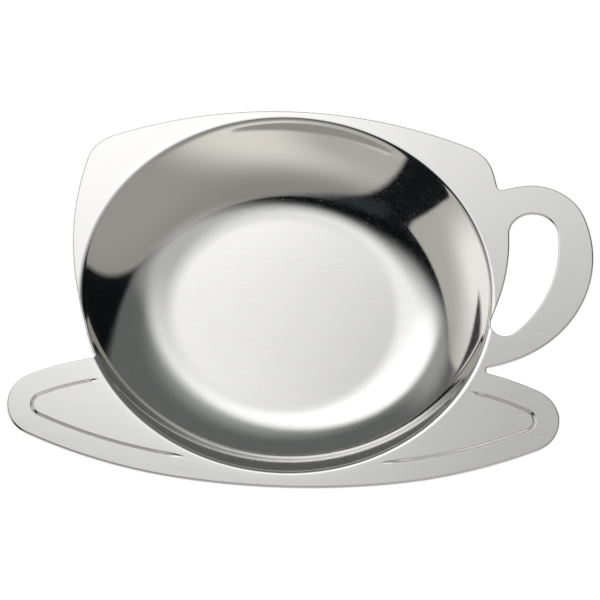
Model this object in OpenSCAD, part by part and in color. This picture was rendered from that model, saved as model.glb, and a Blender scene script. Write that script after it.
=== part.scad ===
// Tea bag rest: one stainless sheet, blanked to the outline of a cup and saucer
// and pressed into a round bowl. Millimetres, +Z up, +X towards the handle,
// +Y towards the cup's mouth, origin under the middle of the bowl's floor.

/* [Sheet] */
// Thickness of the sheet
sheet_t = 0.8; // [0.5:0.05:1.1]

/* [Bowl] */
// Depth of the bowl, from the top of the brim to the top of the floor
bowl_depth = 8; // [6:0.5:12]
// Radius at which the flat brim starts to roll into the bowl
rim_r = 40.8; // [40.3:0.1:41.4]
// Radius of the rolled rim, on the upper side
rim_roll_r = 2; // [1.3:0.1:3]
// Slope where the bowl's curved wall meets the rolled rim, the steepest place of the bowl
wall_angle = 44; // [38:1:54]
// Radius of the blank where it is drawn in to the rolled rim, at the left
drawn_in_r = 39.9; // [39.4:0.1:40.3]

/* [Cup outline] */
// Distance from the bowl's centre to the crest of the cup's upper edge
crest_y = 42.1; // [41.6:0.1:46]
// Radius of the cup's upper edge
crest_r = 92; // [80:0.5:110]
// Half the cup's width at its widest
side_x = 42.4; // [41.8:0.1:44]
// Distance of the widest place above the bowl's centre
side_y = 12.7; // [11:0.1:15]
// Radius of the cup's sides
side_r = 66.5; // [60:0.5:72]
// Radius of the cup's upper corners
corner_r = 8.5; // [6:0.1:12]
// Radius of the blend from the cup's side to the drawn-in edge
blend_r = 12; // [6:0.5:20]

/* [Handle] */
// Place of the handle's shoulder arc
shoulder_x = 48.2; // [47.4:0.1:49.6]
// Height of the shoulder arc's centre above the bowl's centre
shoulder_y = 15.8; // [15:0.1:16.6]
// Radius of the handle's shoulder
shoulder_r = 10.8; // [10.2:0.1:11.6]
// Radius of the handle's upper edge
handle_top_r = 25; // [17:0.5:32]
// Direction in which the shoulder meets the upper edge
handle_top_angle = 99; // [94:1:104]
// Radius of the handle's long outer edge
handle_side_r = 26.3; // [25.3:0.1:27.3]
// Direction in which the shoulder meets the long outer edge
handle_side_angle = 21; // [17:1:25]
// Radius of the inner corner between the cup and the handle
root_r = 0.8; // [0.5:0.1:2]
// Radius at the end of the notch between the handle and the saucer
notch_r = 0.65; // [0.5:0.05:1]

/* [Handle window] */
// Place of the centre of the window's upper end
window_x = 48.2; // [47.6:0.1:48.8]
// Height of that centre above the bowl's centre
window_y = 15.1; // [14.4:0.1:15.8]
// Radius of the window's upper end
window_top_r = 4.7; // [4.2:0.1:5.2]
// Radius of the window's outer side
window_out_r = 27.8; // [26:0.1:30]
// Direction in which the upper end meets the outer side
window_out_angle = 6; // [4:0.5:9]
// Radius of the window's side along the bowl
window_in_r = 46; // [43:0.5:50]
// Direction in which the upper end meets the side along the bowl
window_in_angle = 182; // [180:0.5:184]
// Radius of the window's lower end
window_low_r = 2.8; // [2.4:0.1:3.4]
// Direction in which the outer side meets the lower end
window_low_angle = -46; // [-50:1:-43]
// Radius of the corner between the lower end and the side along the bowl
window_corner_r = 0.3; // [0.2:0.05:0.8]

/* [Saucer] */
// Half the saucer's length
saucer_x = 53.3; // [52:0.1:56]
// Distance from the bowl's centre down to the saucer's tips
saucer_tip_y = 26.8; // [26.2:0.1:27.6]
// Radius of the saucer's tips
tip_r = 7.4; // [6.6:0.1:8]
// Distance from the bowl's centre down to the top of the saucer's upper edge
saucer_top_y = 15.1; // [14.8:0.05:15.5]
// Radius of the saucer's upper edge
saucer_top_r = 50.5; // [44:0.5:60]
// Distance from the bowl's centre down to the saucer's lower edge
saucer_low_y = 43.4; // [43:0.1:45]
// Radius of the middle of the saucer's lower edge
saucer_low_r = 149; // [135:1:165]
// Radius of the lower edge on each side, next to the tips
saucer_side_r = 100; // [80:1:125]
// Radius of the corner between the drawn-in edge and the saucer
heel_r = 0.6; // [0.3:0.1:1.2]

/* [Pressed line] */
// Distance of the pressed line from the saucer's upper edge
line_inset = 4.9; // [4:0.1:5.4]
// Distance of the pressed line from the saucer's lower edge
line_low_inset = 4.6; // [4:0.1:5.4]
// Width of the pressed line
line_w = 0.7; // [0.4:0.05:1]
// Depth of the pressed line
line_depth = 0.25; // [0.1:0.05:0.35]
// Radius of the pressed line at the saucer's tips
line_tip_r = 2.4; // [1.8:0.1:2.9]
// Distance from the bowl's centre at which the pressed line ends
line_end_r = 41.6; // [41.2:0.1:43.2]

/* [Hidden] */
$fn = 144;

// Height of an arc over its chords, in outlines and sections
arc_sag = 0.015;
// Overrun of every cut past the face that it starts from
overrun = 1;

brim_top = bowl_depth + sheet_t;

// The wall is one arc from the flat floor to the rolled rim. The two arcs together turn
// down by the wall's slope and up again, over the bowl's depth.
both_rolls = bowl_depth / (1 - cos(wall_angle));
wall_r = both_rolls - rim_roll_r;
floor_r = rim_r - both_rolls * sin(wall_angle);

function unit(v) = v / norm(v);
function towards(angle) = [cos(angle), sin(angle)];
function place(arc) = [arc[0], arc[1]];
function mirrored(arc) = [-arc[0], arc[1], arc[2]];

// The point at distance da from a and db from b, to the left of the way from a to b
function left_of(a, da, b, db) =
    let (d = norm(b - a), u = (b - a) / d, s = (da * da - db * db + d * d) / (2 * d))
    a + s * u + sqrt(da * da - s * s) * [-u[1], u[0]];
function right_of(a, da, b, db) = left_of(b, db, a, da);

// An arc is [x, y, radius]: the radius is positive where the outline bulges out.
function joined(a, b) =
    let (outer = a[2] * b[2] < 0 || abs(a[2]) > abs(b[2]))
    place(a) + unit(place(b) - place(a)) * abs(a[2]) * (outer ? 1 : -1);
function bearing(arc, p) = atan2(p[1] - arc[1], p[0] - arc[0]);
function positive(angle) = angle < 0 ? angle + 360 : angle;
function steps(r, sweep) = ceil(abs(sweep) / (2 * acos(1 - arc_sag / r)));

// Points along an arc from p, up to but not at q
function arc_points(arc, p, q) =
    let (r = abs(arc[2]), from = bearing(arc, p), to = bearing(arc, q),
         sweep = arc[2] > 0 ? positive(to - from) : -positive(from - to),
         n = max(1, steps(r, sweep)))
    [for (k = [0 : n - 1]) place(arc) + r * towards(from + sweep * k / n)];

// Points of a closed outline of tangent arcs, in the order in which they follow each other
function closed_outline(arcs) =
    let (n = len(arcs))
    [for (i = [0 : n - 1])
        let (before = arcs[(i + n - 1) % n], after = arcs[(i + 1) % n])
        each arc_points(arcs[i], joined(before, arcs[i]), joined(arcs[i], after))];

// Points of an open line of tangent arcs from p to q
function open_line(arcs, p, q) =
    let (last = len(arcs) - 1)
    concat([for (i = [0 : last])
        let (from = i == 0 ? p : joined(arcs[i - 1], arcs[i]),
             to = i == last ? q : joined(arcs[i], arcs[i + 1]))
        each arc_points(arcs[i], from, to)], [q]);

// Bowl's rim
drawn_in = [0, 0, drawn_in_r];

// Cup
crest = [0, crest_y - crest_r, crest_r];
side = [side_x - side_r, side_y, side_r];
corner = concat(right_of(place(crest), crest_r - corner_r, place(side), side_r - corner_r), corner_r);
blend = concat(
    left_of(place(drawn_in), drawn_in_r + blend_r, place(mirrored(side)), side_r + blend_r), -blend_r);

// Handle
shoulder = [shoulder_x, shoulder_y, shoulder_r];
handle_top = concat(place(shoulder) + (shoulder_r - handle_top_r) * towards(handle_top_angle), handle_top_r);
handle_side = concat(
    place(shoulder) + (shoulder_r - handle_side_r) * towards(handle_side_angle), handle_side_r);
root = concat(left_of(place(side), side_r + root_r, place(handle_top), handle_top_r + root_r), -root_r);

// Saucer
tip = [saucer_x - tip_r, -saucer_tip_y, tip_r];
saucer_top_cy = -saucer_top_y - saucer_top_r;
saucer_top_reach = saucer_top_r - tip_r;
saucer_top_rise = tip[1] - saucer_top_cy;
saucer_top_cx = tip[0] - sqrt(saucer_top_reach * saucer_top_reach - saucer_top_rise * saucer_top_rise);
saucer_top = [saucer_top_cx, saucer_top_cy, saucer_top_r];
saucer_low = [0, saucer_low_r - saucer_low_y, saucer_low_r];
saucer_side = concat(
    right_of(place(saucer_low), saucer_low_r - saucer_side_r, place(tip), saucer_side_r - tip_r), saucer_side_r);
notch = concat(
    left_of(place(handle_side), handle_side_r + notch_r, place(saucer_top), saucer_top_r + notch_r), -notch_r);
heel = concat(
    right_of(place(drawn_in), drawn_in_r + heel_r, place(mirrored(saucer_top)), saucer_top_r + heel_r), -heel_r);

// Pressed line: arcs round the same centres as the saucer's edge
line_top = concat(place(saucer_top), saucer_top_r - line_inset);
line_side = concat(place(saucer_side), saucer_side_r - line_low_inset);
line_low = concat(place(saucer_low), saucer_low_r - line_low_inset);
line_tip = concat(
    left_of(place(line_side), line_side[2] - line_tip_r, place(line_top), line_top[2] - line_tip_r), line_tip_r);

module blank() {
    polygon(closed_outline([
        saucer_low, saucer_side, tip, saucer_top, notch, handle_side, shoulder, handle_top, root,
        side, corner, crest, mirrored(corner), mirrored(side), blend, drawn_in, heel,
        mirrored(saucer_top), mirrored(tip), mirrored(saucer_side)
    ]));
}

module window() {
    top = [window_x, window_y, window_top_r];
    outer = concat(place(top) + (window_top_r - window_out_r) * towards(window_out_angle), window_out_r);
    inner = concat(place(top) + (window_top_r + window_in_r) * towards(window_in_angle), -window_in_r);
    low = concat(place(outer) + (window_out_r - window_low_r) * towards(window_low_angle), window_low_r);
    nook = concat(
        left_of(place(low), window_low_r - window_corner_r, place(inner), window_in_r + window_corner_r),
        window_corner_r);
    polygon(closed_outline([outer, top, inner, nook, low]));
}

// One side of the pressed line, moved by a distance away from the saucer's middle
function line_points(offset) =
    let (arcs = [for (arc = [line_low, line_side, line_tip, line_top]) [arc[0], arc[1], arc[2] + offset]])
    open_line(arcs,
        right_of([0, 0], line_end_r, place(line_low), line_low[2] + offset),
        left_of([0, 0], line_end_r, place(line_top), line_top[2] + offset));

module pressed_line() {
    outer = line_points(line_w / 2);
    inner = line_points(-line_w / 2);
    polygon(concat(outer, [for (i = [len(inner) - 1 : -1 : 0]) inner[i]]));
}

// Section of the pressed sheet from the bowl's axis to past the handle
module sheet_section() {
    reach = norm([shoulder_x + shoulder_r, saucer_low_y]) + overrun;
    floor_c = [floor_r, sheet_t + wall_r];
    rim_c = [rim_r, brim_top - rim_roll_r];
    down = -90;
    low = down + wall_angle;
    high = 90 + wall_angle;
    upper = concat(
        arc_points([floor_c[0], floor_c[1], wall_r],
            floor_c + wall_r * towards(down), floor_c + wall_r * towards(low)),
        arc_points([rim_c[0], rim_c[1], -rim_roll_r],
            rim_c + rim_roll_r * towards(high), rim_c + rim_roll_r * towards(90)),
        [[rim_r, brim_top], [reach, brim_top]]);
    under_rim_r = rim_roll_r - sheet_t;
    under_wall_r = wall_r + sheet_t;
    under = concat(
        [[reach, bowl_depth]],
        arc_points([rim_c[0], rim_c[1], under_rim_r],
            rim_c + under_rim_r * towards(90), rim_c + under_rim_r * towards(high)),
        arc_points([floor_c[0], floor_c[1], -under_wall_r],
            floor_c + under_wall_r * towards(low), floor_c + under_wall_r * towards(down)),
        [[floor_r, 0]]);
    polygon(concat([[0, 0], [0, sheet_t]], upper, under));
}

module pressed_tray() {
    color([0.82, 0.83, 0.84])
    difference() {
        intersection() {
            rotate_extrude() sheet_section();
            translate([0, 0, -overrun]) linear_extrude(brim_top + 2 * overrun) blank();
        }
        translate([0, 0, bowl_depth - overrun]) linear_extrude(sheet_t + 2 * overrun) window();
        for (turned = [0, 1]) mirror([turned, 0, 0])
            translate([0, 0, brim_top - line_depth]) linear_extrude(line_depth + overrun) pressed_line();
    }
}

pressed_tray();
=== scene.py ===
"""Tea bag rest: one polished steel sheet in the outline of a cup on a saucer.

The flat blank is cut as a dense mesh whose outline is a chain of tangent arcs. A Geometry
Nodes press then draws the bowl into it and sinks the two lines into the saucer.
"""

from math import acos, atan2, ceil, cos, pi, radians, sin, sqrt

import bmesh
import bpy
import numpy as np
from mathutils import Matrix, Vector
from mathutils.geometry import delaunay_2d_cdt


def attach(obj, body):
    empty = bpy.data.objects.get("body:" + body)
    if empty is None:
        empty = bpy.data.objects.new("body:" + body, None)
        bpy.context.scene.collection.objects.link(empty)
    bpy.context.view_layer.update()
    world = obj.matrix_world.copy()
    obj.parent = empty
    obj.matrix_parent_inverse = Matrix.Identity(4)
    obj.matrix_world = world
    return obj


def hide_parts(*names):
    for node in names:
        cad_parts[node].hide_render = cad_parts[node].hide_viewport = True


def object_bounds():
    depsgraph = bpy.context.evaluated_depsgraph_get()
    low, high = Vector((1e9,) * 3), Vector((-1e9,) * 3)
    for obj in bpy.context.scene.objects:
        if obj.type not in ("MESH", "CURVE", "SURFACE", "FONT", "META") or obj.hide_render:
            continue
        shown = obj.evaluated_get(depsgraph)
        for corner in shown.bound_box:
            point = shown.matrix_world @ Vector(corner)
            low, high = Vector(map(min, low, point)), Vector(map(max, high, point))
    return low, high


bl_info = {
    "name": "Tea Bag Rest",
    "version": (1, 0, 0),
    "blender": (4, 5, 0),
    "location": "3D View > Sidebar > Tea Bag Rest",
    "description": "Builds a pressed steel tea bag rest in its light tent",
    "category": "Object",
}

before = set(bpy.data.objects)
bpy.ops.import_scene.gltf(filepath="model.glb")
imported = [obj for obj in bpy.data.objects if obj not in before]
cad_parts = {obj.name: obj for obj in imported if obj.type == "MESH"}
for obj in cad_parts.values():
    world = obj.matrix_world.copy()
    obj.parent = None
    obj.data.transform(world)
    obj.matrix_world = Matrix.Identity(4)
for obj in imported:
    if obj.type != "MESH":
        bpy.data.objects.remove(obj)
CAD_LOW, CAD_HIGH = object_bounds()
NODE = "pressed_tray"
MM = 0.001


def length(name, value_mm, about):
    """A size in millimetres, held in metres"""
    return bpy.props.FloatProperty(
        name=name, description=about, default=value_mm * MM, unit="LENGTH", precision=5)


def angle(name, value_deg, about):
    """An angle in degrees, held in radians"""
    return bpy.props.FloatProperty(name=name, description=about, default=radians(value_deg), subtype="ANGLE")


def share(name, value, about, high=1.0):
    """A plain number from zero up"""
    return bpy.props.FloatProperty(name=name, description=about, default=value, min=0.0, max=high)


def colour(name, value, about):
    """A colour in linear light"""
    return bpy.props.FloatVectorProperty(
        name=name, description=about, default=value, size=3, min=0.0, max=1.0, subtype="COLOR")


class RestPress(bpy.types.PropertyGroup):
    """Sizes that the press gives to the sheet"""

    sheet_t: length("Sheet", 0.8, "Thickness of the sheet")
    bowl_depth: length("Bowl depth", 8, "From the top of the brim to the top of the floor")
    rim_r: length("Rim", 40.8, "Radius at which the flat brim starts to roll into the bowl")
    rim_roll_r: length("Rim roll", 2, "Radius of the rolled rim, on the upper side")
    wall_angle: angle("Wall", 44, "Slope where the bowl's curved wall meets the rolled rim")
    edge_r: length("Edge", 0.36, "Radius of the tumbled edges")
    line_w: length("Line width", 0.7, "Width of the pressed line")
    line_depth: length("Line depth", 0.25, "Depth of the pressed line")
    line_fade: length("Line fade", 3, "Length over which the line's ends rise to the brim")


class RestCup(bpy.types.PropertyGroup):
    """Outline of the cup"""

    drawn_in_r: length("Drawn-in edge", 39.9, "Radius of the blank where it is drawn in to the rim")
    crest_y: length("Crest", 42.1, "From the bowl's centre to the crest of the upper edge")
    crest_r: length("Upper edge", 92, "Radius of the cup's upper edge")
    side_x: length("Half width", 42.4, "Half the cup's width at its widest")
    side_y: length("Widest place", 12.7, "Height of the widest place above the bowl's centre")
    side_r: length("Side", 66.5, "Radius of the cup's sides")
    corner_r: length("Corner", 8.5, "Radius of the upper corners")
    blend_r: length("Blend", 12, "Radius of the blend from the side to the drawn-in edge")


class RestHandle(bpy.types.PropertyGroup):
    """Outline of the handle and of its window"""

    shoulder_x: length("Shoulder across", 48.2, "Place of the shoulder's centre")
    shoulder_y: length("Shoulder up", 15.8, "Height of the shoulder's centre")
    shoulder_r: length("Shoulder", 10.8, "Radius of the shoulder")
    top_r: length("Upper edge", 25, "Radius of the handle's upper edge")
    top_angle: angle("Upper edge from", 99, "Direction in which the shoulder meets the upper edge")
    side_r: length("Outer edge", 26.3, "Radius of the long outer edge")
    side_angle: angle("Outer edge from", 21, "Direction in which the shoulder meets the outer edge")
    root_r: length("Root", 0.8, "Radius of the inner corner between the cup and the handle")
    notch_r: length("Notch", 0.65, "Radius at the end of the notch above the saucer")
    window_x: length("Window across", 48.2, "Place of the centre of the window's upper end")
    window_y: length("Window up", 15.1, "Height of that centre")
    window_top_r: length("Window top", 4.7, "Radius of the window's upper end")
    window_out_r: length("Window outside", 27.8, "Radius of the window's outer side")
    window_out_angle: angle("Window outside from", 6, "Direction in which the top meets the outer side")
    window_in_r: length("Window inside", 46, "Radius of the window's side along the bowl")
    window_in_angle: angle("Window inside from", 182, "Direction in which the top meets the inner side")
    window_low_r: length("Window foot", 2.8, "Radius of the window's lower end")
    window_low_angle: angle("Window foot from", -46, "Direction in which the outer side meets the foot")
    window_corner_r: length("Window corner", 0.3, "Radius of the corner next to the bowl")


class RestSaucer(bpy.types.PropertyGroup):
    """Outline of the saucer and its pressed line"""

    half_x: length("Half length", 53.3, "Half the saucer's length")
    tip_y: length("Tip down", 26.8, "From the bowl's centre down to the tips")
    tip_r: length("Tip", 7.4, "Radius of the tips")
    top_y: length("Top down", 15.1, "From the bowl's centre down to the upper edge")
    top_r: length("Upper edge", 50.5, "Radius of the upper edge")
    low_y: length("Foot down", 43.4, "From the bowl's centre down to the lower edge")
    low_r: length("Lower edge", 149, "Radius of the middle of the lower edge")
    side_r: length("Lower sides", 100, "Radius of the lower edge next to the tips")
    heel_r: length("Heel", 0.6, "Radius of the corner at the drawn-in edge")
    line_inset: length("Line from top", 5.1, "From the upper edge to the pressed line")
    line_low_inset: length("Line from foot", 4.8, "From the lower edge to the pressed line")
    line_tip_r: length("Line tip", 2.4, "Radius of the pressed line at the tips")
    line_end_r: length("Line end", 41.6, "From the bowl's centre to the line's ends")


class RestFinish(bpy.types.PropertyGroup):
    """Finish of the steel"""

    steel: colour("Steel", (0.80, 0.795, 0.785), "Reflection of the polished sheet, face on")
    bowl_rough: share("Bowl", 0.04, "Roughness in the bowl")
    brim_rough: share("Brim", 0.14, "Roughness of the flat brim")
    grain: share("Grain", 0.015, "Strength of the fine brushing in the steel's shade")
    grain_turn: angle("Grain turn", 3, "Direction of the brushing, from the tray's long side")
    grain_depth: length("Grain depth", 0.00006, "Depth of the brushing")
    scratch_rough: share("Scratches", 0.15, "Roughness that a scratch adds in the bowl")


class RestStage(bpy.types.PropertyGroup):
    """Camera, floor and light tent"""

    elevation: angle("Elevation", 59.243, "Height of the camera above the horizon")
    turn: angle("Turn", 1.116, "Turn of the camera round the bowl's axis")
    roll: angle("Roll", -2.891, "Roll of the camera")
    distance: length("Distance", 1000, "From the camera to the bowl's centre")
    scale: share("Scale", 5.1249, "Picture points for each millimetre at the bowl's centre", high=20.0)
    centre_x: share("Centre across", 286.84, "Picture column of the bowl's centre", high=600.0)
    centre_y: share("Centre down", 292.06, "Picture row of the bowl's centre", high=600.0)
    tent_r: length("Tent", 450, "Radius of the light tent")
    floor_size: length("Floor", 6000, "Side of the floor")


# Geometry of tangent arcs. An arc is (centre, radius). The radius is negative where the outline turns
# inwards.

def towards(a):
    return Vector((cos(a), sin(a)))


def left_of(a, da, b, db):
    """The point at da from a and db from b, to the left of the way from a to b"""
    way = b - a
    d = way.length
    s = (da * da - db * db + d * d) / (2 * d)
    u = way / d
    return a + s * u + sqrt(da * da - s * s) * Vector((-u.y, u.x))


def right_of(a, da, b, db):
    return left_of(b, db, a, da)


def mirrored(arc):
    return Vector((-arc[0].x, arc[0].y)), arc[1]


def joined(a, b):
    """The point at which two tangent arcs meet"""
    outer = a[1] * b[1] < 0 or abs(a[1]) > abs(b[1])
    return a[0] + (b[0] - a[0]).normalized() * abs(a[1]) * (1 if outer else -1)


def arc_points(arc, start, end, sag, step):
    """Points and outward normals along an arc, from start up to but not at end"""
    centre, r = arc
    first = atan2(start.y - centre.y, start.x - centre.x)
    last = atan2(end.y - centre.y, end.x - centre.x)
    sweep = (last - first) % (2 * pi) if r > 0 else -((first - last) % (2 * pi))
    side = abs(r)
    count = max(2, ceil(abs(sweep) / min(2 * acos(1 - sag / side), step / side)))
    rows = []
    for k in range(count):
        way = towards(first + sweep * k / count)
        rows.append((centre + side * way, way if r > 0 else -way))
    return rows


def closed_outline(arcs, sag=0.001 * MM, step=0.7 * MM):
    rows = []
    for i, arc in enumerate(arcs):
        after = arcs[(i + 1) % len(arcs)]
        rows += arc_points(arc, joined(arcs[i - 1], arc), joined(arc, after), sag, step)
    return rows


def open_line(arcs, start, end, sag=0.001 * MM, step=0.4 * MM):
    rows = []
    for i, arc in enumerate(arcs):
        first = start if i == 0 else joined(arcs[i - 1], arc)
        last = end if i == len(arcs) - 1 else joined(arc, arcs[i + 1])
        rows += arc_points(arc, first, last, sag, step)
    return rows


def saucer_arcs(s):
    """Upper edge, tip, side and lower edge of the saucer's right half"""
    tip = (Vector((s.half_x - s.tip_r, -s.tip_y)), s.tip_r)
    top_cy = -s.top_y - s.top_r
    top_cx = tip[0].x - sqrt((s.top_r - s.tip_r) ** 2 - (tip[0].y - top_cy) ** 2)
    top = (Vector((top_cx, top_cy)), s.top_r)
    low = (Vector((0, s.low_r - s.low_y)), s.low_r)
    side = (right_of(low[0], s.low_r - s.side_r, tip[0], s.side_r - s.tip_r), s.side_r)
    return top, tip, side, low


def blank_outline(scene):
    """Outline of the blank, counter-clockwise, with its outward normals"""
    c, h, s = scene.rest_cup, scene.rest_handle, scene.rest_saucer
    zero = Vector((0, 0))
    saucer_top, tip, saucer_side, saucer_low = saucer_arcs(s)
    drawn_in = (zero, c.drawn_in_r)
    crest = (Vector((0, c.crest_y - c.crest_r)), c.crest_r)
    side = (Vector((c.side_x - c.side_r, c.side_y)), c.side_r)
    corner = (right_of(crest[0], c.crest_r - c.corner_r, side[0], c.side_r - c.corner_r), c.corner_r)
    left_side = mirrored(side)
    blend = (left_of(zero, c.drawn_in_r + c.blend_r, left_side[0], c.side_r + c.blend_r), -c.blend_r)
    shoulder = (Vector((h.shoulder_x, h.shoulder_y)), h.shoulder_r)
    handle_top = (shoulder[0] + (h.shoulder_r - h.top_r) * towards(h.top_angle), h.top_r)
    handle_side = (shoulder[0] + (h.shoulder_r - h.side_r) * towards(h.side_angle), h.side_r)
    root = (left_of(side[0], c.side_r + h.root_r, handle_top[0], h.top_r + h.root_r), -h.root_r)
    notch = (left_of(handle_side[0], h.side_r + h.notch_r, saucer_top[0], s.top_r + h.notch_r), -h.notch_r)
    left_top = mirrored(saucer_top)
    heel = (right_of(zero, c.drawn_in_r + s.heel_r, left_top[0], s.top_r + s.heel_r), -s.heel_r)
    return closed_outline([
        saucer_low, saucer_side, tip, saucer_top, notch, handle_side, shoulder, handle_top, root,
        side, corner, crest, mirrored(corner), left_side, blend, drawn_in, heel,
        left_top, mirrored(tip), mirrored(saucer_side),
    ])


def window_outline(h):
    """Outline of the handle's window, counter-clockwise, with normals that point out of the window"""
    top = (Vector((h.window_x, h.window_y)), h.window_top_r)
    outer = (top[0] + (h.window_top_r - h.window_out_r) * towards(h.window_out_angle), h.window_out_r)
    inner = (top[0] + (h.window_top_r + h.window_in_r) * towards(h.window_in_angle), -h.window_in_r)
    low = (outer[0] + (h.window_out_r - h.window_low_r) * towards(h.window_low_angle), h.window_low_r)
    nook = (left_of(low[0], h.window_low_r - h.window_corner_r, inner[0], h.window_in_r + h.window_corner_r),
            h.window_corner_r)
    return closed_outline([outer, top, inner, nook, low])


def line_path(s, turned):
    """Middle of a pressed line, from the lower end round the tip to the upper end"""
    saucer_top, _, saucer_side, saucer_low = saucer_arcs(s)
    top = (saucer_top[0], s.top_r - s.line_inset)
    side = (saucer_side[0], s.side_r - s.line_low_inset)
    low = (saucer_low[0], s.low_r - s.line_low_inset)
    tip = (left_of(side[0], side[1] - s.line_tip_r, top[0], top[1] - s.line_tip_r), s.line_tip_r)
    zero = Vector((0, 0))
    rows = open_line(
        [low, side, tip, top],
        right_of(zero, s.line_end_r, low[0], low[1]), left_of(zero, s.line_end_r, top[0], top[1]))
    if not turned:
        return rows
    return [(Vector((-p.x, p.y)), Vector((-n.x, n.y))) for p, n in rows]


# The blank's mesh

RING_SIDES = 384
RIM_RINGS = 16
EDGE_STEPS = 7


def moved(rows, distance):
    """An outline moved along its normals"""
    return [p + n * distance for p, n in rows]


def inside(points, loop):
    """Which points lie inside a closed loop, as an array of truth values"""
    points = np.array([tuple(p) for p in points])
    a = np.array([tuple(p) for p in loop])
    b = np.roll(a, -1, axis=0)
    found = np.zeros(len(points), bool)
    for (ax, ay), (bx, by) in zip(a, b):
        if ay == by:
            continue
        spans = (points[:, 1] >= min(ay, by)) & (points[:, 1] < max(ay, by))
        across = ax + (points[:, 1] - ay) * (bx - ax) / (by - ay)
        found ^= spans & (points[:, 0] < across)
    return found


def ring(r):
    return [r * towards(2 * pi * k / RING_SIDES) for k in range(RING_SIDES)]


def ring_radii(press):
    """Radii of the rings inside the bowl, closer together on the curved wall"""
    floor_r, wall_high_r = press_radii(press)
    radii = []
    for start, end, step in ((0, floor_r, 1.2), (floor_r, wall_high_r, 0.4)):
        count = ceil((end - start) / (step * MM))
        radii += [start + (end - start) * k / count for k in range(count)]
    return radii[1:] + [wall_high_r]


def rim_radii(press):
    """Radii of the rings on the rolled rim, with one just outside it"""
    wall_high_r = press_radii(press)[1]
    width = press.rim_r - wall_high_r
    radii = [wall_high_r + width * k / RIM_RINGS for k in range(RIM_RINGS + 1)]
    return radii + [press.rim_r + 0.12 * MM]


def press_radii(press):
    """Where the flat floor ends, and where the curved wall meets the rolled rim"""
    both_rolls = press.bowl_depth / (1 - cos(press.wall_angle))
    floor_r = press.rim_r - both_rolls * sin(press.wall_angle)
    return floor_r, press.rim_r - press.rim_roll_r * sin(press.wall_angle)


class Flat:
    """Collects the points and edges of the flat brim"""

    def __init__(self):
        self.points = []
        self.edges = []

    def loop(self, points):
        first = len(self.points)
        self.points += points
        self.edges += [(first + k, first + (k + 1) % len(points)) for k in range(len(points))]

    def pieces_of(self, points, keep, closed):
        """Adds the kept points of a line, and its edges between kept neighbours"""
        place = {}
        for k, p in enumerate(points):
            if keep[k]:
                place[k] = len(self.points)
                self.points.append(p)
        last = len(points) if closed else len(points) - 1
        for k in range(last):
            after = (k + 1) % len(points)
            if k in place and after in place:
                self.edges.append((place[k], place[after]))


def brim_faces(scene):
    """Triangles of the upper face between the bowl's wall and the edges"""
    press = scene.rest_press
    blank = blank_outline(scene)
    window = window_outline(scene.rest_handle)
    hold = 0.07 * MM
    clear = 0.05 * MM
    flat = Flat()
    edge, hole = moved(blank, -press.edge_r), moved(window, press.edge_r)
    edge_hold, hole_hold = moved(blank, -press.edge_r - hold), moved(window, press.edge_r + hold)
    edge_clear = moved(blank, -press.edge_r - hold - clear)
    hole_clear = moved(window, press.edge_r + hold + clear)
    for points in (edge, hole, edge_hold, hole_hold):
        flat.loop(points)
    radii = rim_radii(press)
    flat.loop(ring(radii[0]))
    for r in radii[1:]:
        points = ring(r)
        flat.pieces_of(points, inside(points, edge_clear) & ~inside(points, hole_clear), True)
    beside = [k * press.line_w / 8 for k in range(-5, 6)]
    for turned in (False, True):
        rows = line_path(scene.rest_saucer, turned)
        for offset in beside:
            points = moved(rows, offset)
            keep = np.array([p.length > radii[-1] + clear for p in points])
            flat.pieces_of(points, keep, False)
    scale = 1 / MM
    verts, _, faces, *_ = delaunay_2d_cdt([p * scale for p in flat.points], flat.edges, [], 0, 1e-5)
    middles = [(verts[a] + verts[b] + verts[c]) / 3 * MM for a, b, c in faces]
    keep = inside(middles, edge) & ~inside(middles, hole)
    keep &= ~inside(middles, ring(radii[0]))
    faces = [f for f, kept in zip(faces, keep) if kept]
    return [v * MM for v in verts], faces


def bowl_faces(press):
    """Quads of the upper face inside the bowl, with a fan at its centre"""
    radii = ring_radii(press)
    verts = [Vector((0, 0))]
    for r in radii:
        verts += ring(r)
    faces = [(0, 1 + k, 1 + (k + 1) % RING_SIDES) for k in range(RING_SIDES)]
    for j in range(len(radii) - 1):
        low, high = 1 + j * RING_SIDES, 1 + (j + 1) * RING_SIDES
        for k in range(RING_SIDES):
            after = (k + 1) % RING_SIDES
            faces.append((low + k, high + k, high + after, low + after))
    return verts, faces


def edge_strip(rows, inwards, press):
    """Quads round a cut edge. Heights are levels in the sheet: zero on top, minus its thickness below."""
    turns = [pi / 2 * k / EDGE_STEPS for k in range(EDGE_STEPS + 1)]
    r, t = press.edge_r, press.sheet_t
    levels = [(r * sin(a) - r, -r * (1 - cos(a))) for a in turns]
    levels += [(r * cos(a) - r, -t + r * (1 - sin(a))) for a in turns]
    way = -1 if inwards else 1
    verts, faces = [], []
    for out, level in levels:
        verts += [Vector((p.x, p.y, level)) for p in moved(rows, way * out)]
    count = len(rows)
    for j in range(len(levels) - 1):
        for k in range(count):
            after = (k + 1) % count
            faces.append((j * count + k, (j + 1) * count + k, (j + 1) * count + after, j * count + after))
    return verts, faces


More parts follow.
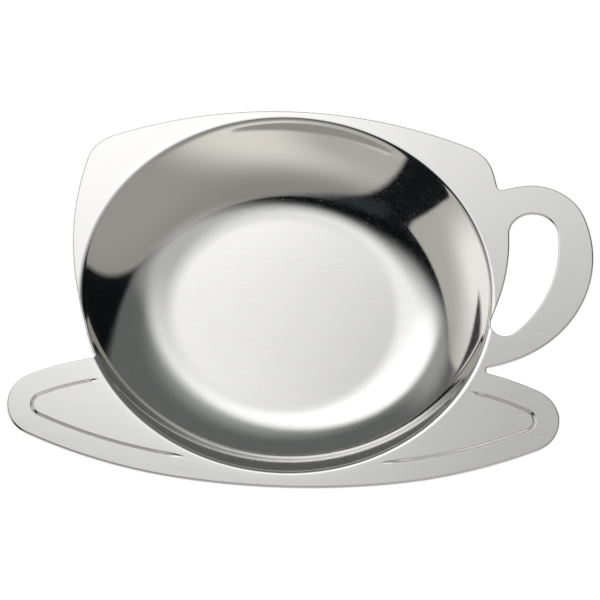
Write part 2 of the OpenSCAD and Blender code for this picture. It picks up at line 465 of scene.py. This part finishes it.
def flat_blank(scene):
    """The flat blank as one closed mesh, with levels in the sheet as heights"""
    press = scene.rest_press
    bm = bmesh.new()

    def add(verts, faces):
        made = [bm.verts.new(v) for v in verts]
        for face in faces:
            bm.faces.new([made[k] for k in face])

    for verts, faces in (bowl_faces(press), brim_faces(scene)):
        for level in (0, -press.sheet_t):
            add([Vector((v.x, v.y, level)) for v in verts], faces)
    add(*edge_strip(blank_outline(scene), False, press))
    add(*edge_strip(window_outline(scene.rest_handle), True, press))
    bmesh.ops.delete(bm, geom=[v for v in bm.verts if not v.link_faces], context="VERTS")
    bmesh.ops.remove_doubles(bm, verts=bm.verts, dist=0.002 * MM)
    bmesh.ops.recalc_face_normals(bm, faces=bm.faces)
    open_edges = [e for e in bm.edges if len(e.link_faces) != 2]
    if open_edges:
        place = open_edges[0].verts[0].co
        raise RuntimeError(f"the blank isn't closed: {len(open_edges)} open edges, at {place}")
    mesh = bpy.data.meshes.new("pressed_sheet")
    bm.to_mesh(mesh)
    bm.free()
    mesh.shade_smooth()
    return mesh


class Nodes:
    """Adds linked nodes to a tree, with plain calls for the sums that the trees share"""

    def __init__(self, tree):
        self.tree = tree

    def new(self, kind, inputs=(), **settings):
        node = self.tree.nodes.new(kind)
        for name, value in settings.items():
            setattr(node, name, value)
        for place, value in dict(inputs).items():
            self.put(node.inputs[place], value)
        return node

    def put(self, socket, value):
        if isinstance(value, bpy.types.NodeSocket):
            self.tree.links.new(value, socket)
        elif value is not None:
            socket.default_value = value

    def math(self, operation, a, b=None, c=None, clamp=False):
        return self.new("ShaderNodeMath", {0: a, 1: b, 2: c}, operation=operation, use_clamp=clamp).outputs[0]

    def vector(self, operation, a, b=None):
        node = self.new("ShaderNodeVectorMath", {0: a, 1: b}, operation=operation)
        return node.outputs["Value" if operation in ("DOT_PRODUCT", "LENGTH") else "Vector"]

    def smooth(self, value, low, high, to_low=0.0, to_high=1.0):
        node = self.new("ShaderNodeMapRange", {0: value, 1: low, 2: high, 3: to_low, 4: to_high})
        node.interpolation_type = "SMOOTHSTEP"
        return node.outputs[0]

    def blend(self, factor, a, b):
        node = self.new("ShaderNodeMix", data_type="RGBA")
        self.put(node.inputs[0], factor)
        self.put(node.inputs[6], a)
        self.put(node.inputs[7], b)
        return node.outputs[2]


# The press

def press_tree():
    """Geometry Nodes that press a flat blank: its heights are levels in the sheet"""
    tree = bpy.data.node_groups.new("Press the sheet", "GeometryNodeTree")
    tree.is_modifier = True
    face = tree.interface
    face.new_socket("Blank", in_out="INPUT", socket_type="NodeSocketGeometry")
    for name in ("Brim height", "Bowl depth", "Rim radius", "Rim roll", "Wall slope",
                 "Line width", "Line depth", "Line end", "Line fade"):
        face.new_socket(name, in_out="INPUT", socket_type="NodeSocketFloat")
    face.new_socket("Lines", in_out="INPUT", socket_type="NodeSocketObject")
    face.new_socket("Steel", in_out="INPUT", socket_type="NodeSocketMaterial")
    face.new_socket("Sheet", in_out="OUTPUT", socket_type="NodeSocketGeometry")
    n = Nodes(tree)
    start = n.new("NodeGroupInput").outputs
    place = n.new("ShaderNodeSeparateXYZ", {0: n.new("GeometryNodeInputPosition").outputs[0]}).outputs
    flat = n.new("ShaderNodeCombineXYZ", {0: place[0], 1: place[1]}).outputs[0]
    radius = n.math("MAXIMUM", n.vector("LENGTH", flat), 1e-9)
    level = place[2]
    sine = n.math("SINE", start["Wall slope"])
    bend = n.math("SUBTRACT", 1.0, n.math("COSINE", start["Wall slope"]))
    both_rolls = n.math("DIVIDE", start["Bowl depth"], bend)
    wall_r = n.math("SUBTRACT", both_rolls, start["Rim roll"])
    floor_r = n.math("SUBTRACT", start["Rim radius"], n.math("MULTIPLY", both_rolls, sine))
    wall_w = n.math("MULTIPLY", wall_r, sine)
    rim_w = n.math("MULTIPLY", start["Rim roll"], sine)

    def clamped(value, high):
        return n.math("MINIMUM", n.math("MAXIMUM", value, 0.0), high)

    def rise(out, roll):
        square = n.math("SUBTRACT", n.math("MULTIPLY", roll, roll), n.math("MULTIPLY", out, out))
        return n.math("SUBTRACT", roll, n.math("SQRT", square))

    on_wall = clamped(n.math("SUBTRACT", radius, floor_r), wall_w)
    on_rim = clamped(n.math("SUBTRACT", start["Rim radius"], radius), rim_w)
    height = n.math("SUBTRACT", rise(on_wall, wall_r), start["Bowl depth"])
    height = n.math("ADD", height, n.math("MULTIPLY", start["Rim roll"], bend))
    height = n.math("SUBTRACT", height, rise(on_rim, start["Rim roll"]))
    lean = n.math("MINIMUM", n.math("DIVIDE", on_wall, wall_r), n.math("DIVIDE", on_rim, start["Rim roll"]))
    upright = n.math("SQRT", n.math("SUBTRACT", 1.0, n.math("MULTIPLY", lean, lean)))

    lines = n.new("GeometryNodeObjectInfo", {"Object": start["Lines"]}, transform_space="RELATIVE")
    near = n.new("GeometryNodeProximity", {0: lines.outputs["Geometry"]}, target_element="EDGES")
    n.put(near.inputs["Sample Position"], flat)
    half = n.math("MULTIPLY", start["Line width"], 0.5)
    groove = n.smooth(near.outputs["Distance"], 0.0, half, 1.0, 0.0)
    faded = n.math("ADD", start["Line end"], start["Line fade"])
    groove = n.math("MULTIPLY", groove, n.smooth(radius, start["Line end"], faded))
    height = n.math("SUBTRACT", height, n.math("MULTIPLY", groove, start["Line depth"]))

    out = n.math("SUBTRACT", 1.0, n.math("DIVIDE", n.math("MULTIPLY", lean, level), radius))
    height = n.math("ADD", n.math("ADD", height, start["Brim height"]), n.math("MULTIPLY", upright, level))
    pressed = n.new("ShaderNodeCombineXYZ", {
        0: n.math("MULTIPLY", place[0], out), 1: n.math("MULTIPLY", place[1], out), 2: height})
    sheet = n.new("GeometryNodeSetPosition", {"Geometry": start["Blank"], "Position": pressed.outputs[0]})
    real = n.new("GeometryNodeRealizeInstances", {0: sheet.outputs[0]})
    steel = n.new("GeometryNodeSetMaterial", {"Geometry": real.outputs[0], "Material": start["Steel"]})
    end = n.new("NodeGroupOutput")
    n.put(end.inputs[0], steel.outputs[0])
    return tree


def run_tree(obj, tree, values):
    """Runs a tree on an object with the named inputs, and keeps the result as its plain mesh"""
    modifier = obj.modifiers.new("Press", "NODES")
    modifier.node_group = tree
    names = {item.name: item.identifier for item in tree.interface.items_tree if item.in_out == "INPUT"}
    for name, value in values.items():
        modifier[names[name]] = value
    found = obj.evaluated_get(bpy.context.evaluated_depsgraph_get())
    mesh = bpy.data.meshes.new_from_object(found)
    obj.modifiers.remove(modifier)
    old, obj.data = obj.data, mesh
    bpy.data.meshes.remove(old)
    mesh.name = obj.name
    return obj


def line_object(scene):
    """The middle lines of both pressed lines, as edges"""
    verts, edges = [], []
    for turned in (False, True):
        rows = line_path(scene.rest_saucer, turned)
        edges += [(len(verts) + k, len(verts) + k + 1) for k in range(len(rows) - 1)]
        verts += [(p.x, p.y, 0) for p, _ in rows]
    mesh = bpy.data.meshes.new("line_paths")
    mesh.from_pydata(verts, edges, [])
    obj = bpy.data.objects.new("line_paths", mesh)
    bpy.context.collection.objects.link(obj)
    return obj


# Finishes

# Length and width of a streak of brushing and of a scratch
GRAIN_SIZE = (14 * MM, 0.12 * MM)
SCRATCH_SIZE = (4 * MM, 0.11 * MM)
# Direction of each set of scratches in degrees, and the noise level above which one shows
SCRATCHES = ((-52, 0.74), (-20, 0.755), (38, 0.755))


def streaks(n, place, turn, along, across, detail=2.0):
    """Noise drawn out along one direction of the sheet, with its streaks' length and width"""
    turned = n.new("ShaderNodeMapping", {"Vector": place, "Rotation": (0.0, 0.0, turn)})
    drawn = n.vector("MULTIPLY", turned.outputs[0], (1 / along, 1 / across, 1 / across))
    return n.new("ShaderNodeTexNoise", {"Vector": drawn, "Scale": 1.0, "Detail": detail}).outputs[0]


def steel_material(scene):
    """Polished steel: near-mirror in the bowl, duller on the brim, with brushing and scratches"""
    finish, press = scene.rest_finish, scene.rest_press
    material = bpy.data.materials.new("polished_steel")
    material.use_nodes = True
    n = Nodes(material.node_tree)
    shader = material.node_tree.nodes["Principled BSDF"]
    place = n.new("ShaderNodeTexCoord").outputs["Object"]
    flat = n.vector("MULTIPLY", place, (1.0, 1.0, 0.0))
    radius = n.vector("LENGTH", flat)
    brim = n.smooth(radius, press.rim_r - press.rim_roll_r, press.rim_r + press.rim_roll_r)
    shader.inputs["Metallic"].default_value = 1.0

    brushing = streaks(n, place, finish.grain_turn, *GRAIN_SIZE)
    shade = n.smooth(brushing, 0.3, 0.7, -finish.grain, finish.grain)
    grey = n.math("ADD", 1.0, shade)
    steel = n.new("ShaderNodeCombineXYZ", {k: n.math("MULTIPLY", grey, finish.steel[k]) for k in range(3)})
    n.put(shader.inputs["Base Color"], steel.outputs[0])

    rough = n.new("ShaderNodeMapRange", {0: brim, 3: finish.bowl_rough, 4: finish.brim_rough}).outputs[0]
    rough = n.math("MULTIPLY", rough, n.smooth(brushing, 0.3, 0.7, 0.75, 1.25))
    scratched = None
    for turn, rarity in SCRATCHES:
        line = streaks(n, place, radians(turn), *SCRATCH_SIZE, 0.0)
        line = n.smooth(line, rarity, rarity + 0.03)
        scratched = line if scratched is None else n.math("MAXIMUM", scratched, line)
    in_bowl = n.math("MULTIPLY", n.math("SUBTRACT", 1.0, brim), finish.scratch_rough)
    rough = n.math("ADD", rough, n.math("MULTIPLY", scratched, in_bowl))
    n.put(shader.inputs["Roughness"], rough)

    bump = n.new("ShaderNodeBump", {"Strength": 1.0, "Distance": finish.grain_depth, "Height": brushing})
    n.put(shader.inputs["Normal"], bump.outputs[0])
    return material


# Stage

# Light that the floor gives off besides what falls on it, and the world's light on surfaces
FLOOR_GLOW = 0.66
WORLD_LIGHT = 0.8

# Tints
SOFT = (1.0, 0.985, 0.95)
WARM = (1.0, 0.97, 0.9)
COOL = (0.96, 1.0, 0.98)
INK = (0.8, 1.0, 1.1)
WHITE = (1.0, 1.0, 1.0)

# Walls, frames, cards and windows of the studio, as the bowl mirrors them. Each has a name, its corners
# as azimuth and elevation in degrees, the softness of its edges in degrees, its level and its tint.
# Azimuth 0 is behind the tray and grows to the right. What comes later lies in front.
ROOM = (0.3, 0.29, 0.27)
CARDS = (
    ("room front", ((120, -5), (-100, -5), (-110, 64), (120, 64)), 44, 0.84, WARM),
    ("room left", ((-180, 20), (-100, 20), (-100, 60), (-180, 60)), 30, 0.5, WARM),
    ("room right", ((60, -5), (115, -5), (115, 66), (60, 66)), 34, 0.37, WARM),
    ("front strip", ((-180, 37.5), (-130, 35), (-130, 38), (180, 42)), 3, 0.75, WARM),
    ("front low", ((150, 20), (-125, 15), (-130, 35.5), (150, 38)), 3, 0.33, WARM),
    ("low dark", ((75, -12), (160, -12), (-140, -12), (-140, 14), (160, 14), (75, 14)), 10, 0.06, WHITE),
    ("arch left", ((-122, -5), (-127, 30), (-124, 52), (-105, 72), (-60, 79.5), (-30, 80), (-40, -5)),
     3, 0.008, INK),
    ("arch right", ((-60, -5), (-60, 79.5), (0, 80.5), (30, 77), (50, 70), (58, 60), (64, 40),
                    (68, 10), (69, -5)), 3, 0.005, INK),
    ("arch sheen", ((-90, 66), (-60, 70), (0, 75), (40, 73), (40, 77), (0, 80), (-90, 76)), 6, 0.03, INK),
    ("beige card", ((-99, -5), (-98, 30), (-92, 47), (-82, 58), (-70, 62), (-46, 59), (-38, 25),
                    (-26, -5)), 2, 0.5, WARM),
    ("beige glow", ((-90, -5), (-85, 34), (-60, 34), (-32, -5)), 24, 1, SOFT),
    ("centre", ((-46, 60), (-30, 67.5), (0, 73), (28, 70), (46, 64), (56, 54), (50, 38), (42, 18),
                (35, -5), (-28, -5), (-40, 28)), 5, 0.14, COOL),
    ("centre left", ((-46, 60), (-30, 66), (-20, 50), (-26, 8), (-42, 28)), 12, 0.35, WHITE),
    ("centre fade", ((-32, 30), (-38, 60), (0, 66), (30, 63), (32, 52), (15, 30)), 24, 0.42, COOL),
    ("centre glow", ((-40, 42), (-34, 64), (0, 71), (36, 70), (44, 62), (20, 46), (0, 40)),
     16, 1.06, WHITE),
    ("white window", ((-38, 44), (-32, 54), (-15, 57), (5, 56), (8, 46), (-5, 34), (-19, 30),
                      (-34, 37)), 9, 1.3, WHITE),
    ("floor shade", ((7, 55), (5, 70), (50, 72), (50, 50)), 15, 0.54, WHITE),
    ("left frame", ((-60, 16), (-52, 15), (-32, 4), (-45, 2)), 3, 0.05, WHITE),
)


def direction(azimuth, elevation):
    a, e = radians(azimuth), radians(elevation)
    return Vector((sin(a) * cos(e), cos(a) * cos(e), sin(e)))


def tent_material(centre):
    """Soft cards on a grey tent, placed by the directions in which the bowl sees them"""
    material = bpy.data.materials.new("light_tent")
    material.use_nodes = True
    tree = material.node_tree
    tree.nodes.clear()
    n = Nodes(tree)
    place = n.new("ShaderNodeTexCoord").outputs["Object"]
    way = n.vector("NORMALIZE", n.vector("SUBTRACT", place, centre))
    colour_now = (*ROOM, 1.0)
    for name, corners, soft, level, tint in CARDS:
        ways = [direction(*c) for c in corners]
        middle = sum(ways, Vector()).normalized()
        mask = 1.0
        for a, b in zip(ways, ways[1:] + ways[:1]):
            edge = a.cross(b).normalized()
            if edge.dot(middle) < 0:
                edge = -edge
            past = n.vector("DOT_PRODUCT", way, edge)
            half = sin(radians(soft) / 2)
            mask = n.math("MULTIPLY", mask, n.smooth(past, -half, half))
        colour_now = n.blend(mask, colour_now, (*(level * c for c in tint), 1.0))
    glow = n.new("ShaderNodeEmission", {0: colour_now})
    end = n.new("ShaderNodeOutputMaterial")
    n.put(end.inputs[0], glow.outputs[0])
    return material


class RestStageOperator(bpy.types.Operator):
    """Adds the floor, the light tent, the world and the camera"""

    bl_idname = "object.rest_stage"
    bl_label = "Stage"

    def execute(self, context):
        stage = context.scene.rest_stage
        centre = Vector((0, 0, CAD_HIGH.z))
        add_floor(stage)
        add_tent(stage, centre)
        add_world(context.scene)
        add_camera(context.scene, stage, centre)
        return {"FINISHED"}


def add_floor(stage):
    half = stage.floor_size / 2
    mesh = bpy.data.meshes.new("floor")
    corners = [(-half, -half, 0), (half, -half, 0), (half, half, 0), (-half, half, 0)]
    mesh.from_pydata(corners, [], [(0, 1, 2, 3)])
    floor = bpy.data.objects.new("floor", mesh)
    bpy.context.collection.objects.link(floor)
    material = bpy.data.materials.new("pale_floor")
    material.use_nodes = True
    tree = material.node_tree
    tree.nodes.clear()
    n = Nodes(tree)
    rays = n.new("ShaderNodeLightPath").outputs
    seen = n.math("MAXIMUM", n.math("MAXIMUM", rays["Is Camera Ray"], rays["Is Glossy Ray"]),
                  rays["Is Transmission Ray"])
    matt = n.new("ShaderNodeBsdfDiffuse", {0: (0.85, 0.85, 0.85, 1.0)})
    glow = n.new("ShaderNodeEmission", {0: (1.0, 1.0, 1.0, 1.0), 1: n.math("MULTIPLY", seen, FLOOR_GLOW)})
    both = n.new("ShaderNodeAddShader", {0: matt.outputs[0], 1: glow.outputs[0]})
    n.put(n.new("ShaderNodeOutputMaterial").inputs[0], both.outputs[0])
    mesh.materials.append(material)


def add_tent(stage, centre):
    bm = bmesh.new()
    bmesh.ops.create_uvsphere(bm, u_segments=64, v_segments=48, radius=stage.tent_r)
    bmesh.ops.translate(bm, verts=bm.verts, vec=centre)
    bmesh.ops.bisect_plane(bm, geom=[*bm.verts, *bm.edges, *bm.faces], plane_co=(0, 0, 1 * MM),
                           plane_no=(0, 0, 1), clear_inner=True)
    mesh = bpy.data.meshes.new("light_tent")
    bm.to_mesh(mesh)
    bm.free()
    mesh.materials.append(tent_material(centre))
    tent = bpy.data.objects.new("light_tent", mesh)
    bpy.context.collection.objects.link(tent)
    tent.visible_camera = False


def add_world(scene):
    world = bpy.data.worlds.new("studio")
    world.use_nodes = True
    n = Nodes(world.node_tree)
    rays = n.new("ShaderNodeLightPath").outputs
    seen = n.math("MAXIMUM", n.math("MAXIMUM", rays["Is Camera Ray"], rays["Is Glossy Ray"]),
                  rays["Is Transmission Ray"])
    back = world.node_tree.nodes["Background"]
    back.inputs["Color"].default_value = (1.0, 1.0, 1.0, 1.0)
    n.put(back.inputs["Strength"], n.smooth(seen, 0.0, 1.0, WORLD_LIGHT, 1.0))
    scene.world = world


def add_camera(scene, stage, centre):
    """The camera of the photograph, from its elevation, turn, roll and scale"""
    frame_size = 600
    e, turn, roll = stage.elevation, stage.turn, stage.roll
    across = Vector((cos(turn), -sin(turn), 0))
    away = Vector((sin(turn), cos(turn), 0))
    up = away * sin(e) + Vector((0, 0, cos(e)))
    look = away * cos(e) - Vector((0, 0, sin(e)))
    right = across * cos(roll) - up * sin(roll)
    top = across * sin(roll) + up * cos(roll)
    off_x = (stage.centre_x - frame_size / 2) / stage.scale * MM
    off_y = (frame_size / 2 - stage.centre_y) / stage.scale * MM
    data = bpy.data.cameras.new("camera")
    data.sensor_width = 36
    data.lens = data.sensor_width * stage.scale / MM * stage.distance / frame_size
    camera = bpy.data.objects.new("camera", data)
    bpy.context.collection.objects.link(camera)
    camera.matrix_world = Matrix((right, top, -look)).transposed().to_4x4()
    camera.location = centre - right * off_x - top * off_y - look * stage.distance
    data.clip_start, data.clip_end = 0.1, 20
    scene.camera = camera


class RestTrayOperator(bpy.types.Operator):
    """Cuts the blank and presses it into the tray"""

    bl_idname = "object.rest_tray"
    bl_label = "Pressed tray"

    def execute(self, context):
        scene = context.scene
        press, saucer = scene.rest_press, scene.rest_saucer
        tray = bpy.data.objects.new("tray", flat_blank(scene))
        context.collection.objects.link(tray)
        lines = line_object(scene)
        run_tree(tray, press_tree(), {
            "Brim height": CAD_HIGH.z, "Bowl depth": press.bowl_depth, "Rim radius": press.rim_r,
            "Rim roll": press.rim_roll_r, "Wall slope": press.wall_angle,
            "Line width": press.line_w, "Line depth": press.line_depth, "Line end": saucer.line_end_r,
            "Line fade": press.line_fade, "Lines": lines, "Steel": steel_material(scene),
        })
        bpy.data.objects.remove(lines)
        tray.data.shade_smooth()
        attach(tray, "root")
        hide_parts(NODE)
        return {"FINISHED"}


class RestPanel(bpy.types.Panel):
    """Lists the tray's operators and sizes"""

    bl_idname = "VIEW3D_PT_tea_bag_rest"
    bl_label = "Tea Bag Rest"
    bl_space_type = "VIEW_3D"
    bl_region_type = "UI"
    bl_category = "Tea Bag Rest"

    def draw(self, context):
        for operator in OPERATORS:
            self.layout.operator(operator.bl_idname)
        for name, group in GROUPS.items():
            box = self.layout.box()
            box.label(text=group.__doc__)
            for size in group.__annotations__:
                box.prop(getattr(context.scene, name), size)


GROUPS = {
    "rest_press": RestPress, "rest_cup": RestCup, "rest_handle": RestHandle,
    "rest_saucer": RestSaucer, "rest_finish": RestFinish, "rest_stage": RestStage,
}
OPERATORS = (RestTrayOperator, RestStageOperator)


def register():
    for cls in (*GROUPS.values(), *OPERATORS, RestPanel):
        bpy.utils.register_class(cls)
    for name, group in GROUPS.items():
        setattr(bpy.types.Scene, name, bpy.props.PointerProperty(type=group))


def unregister():
    for name in GROUPS:
        delattr(bpy.types.Scene, name)
    for cls in (RestPanel, *OPERATORS, *GROUPS.values()):
        bpy.utils.unregister_class(cls)


def main():
    register()
    bpy.ops.object.rest_tray()
    bpy.ops.object.rest_stage()
    bpy.context.scene.view_settings.view_transform = "Standard"


if __name__ == "__main__":
    main()
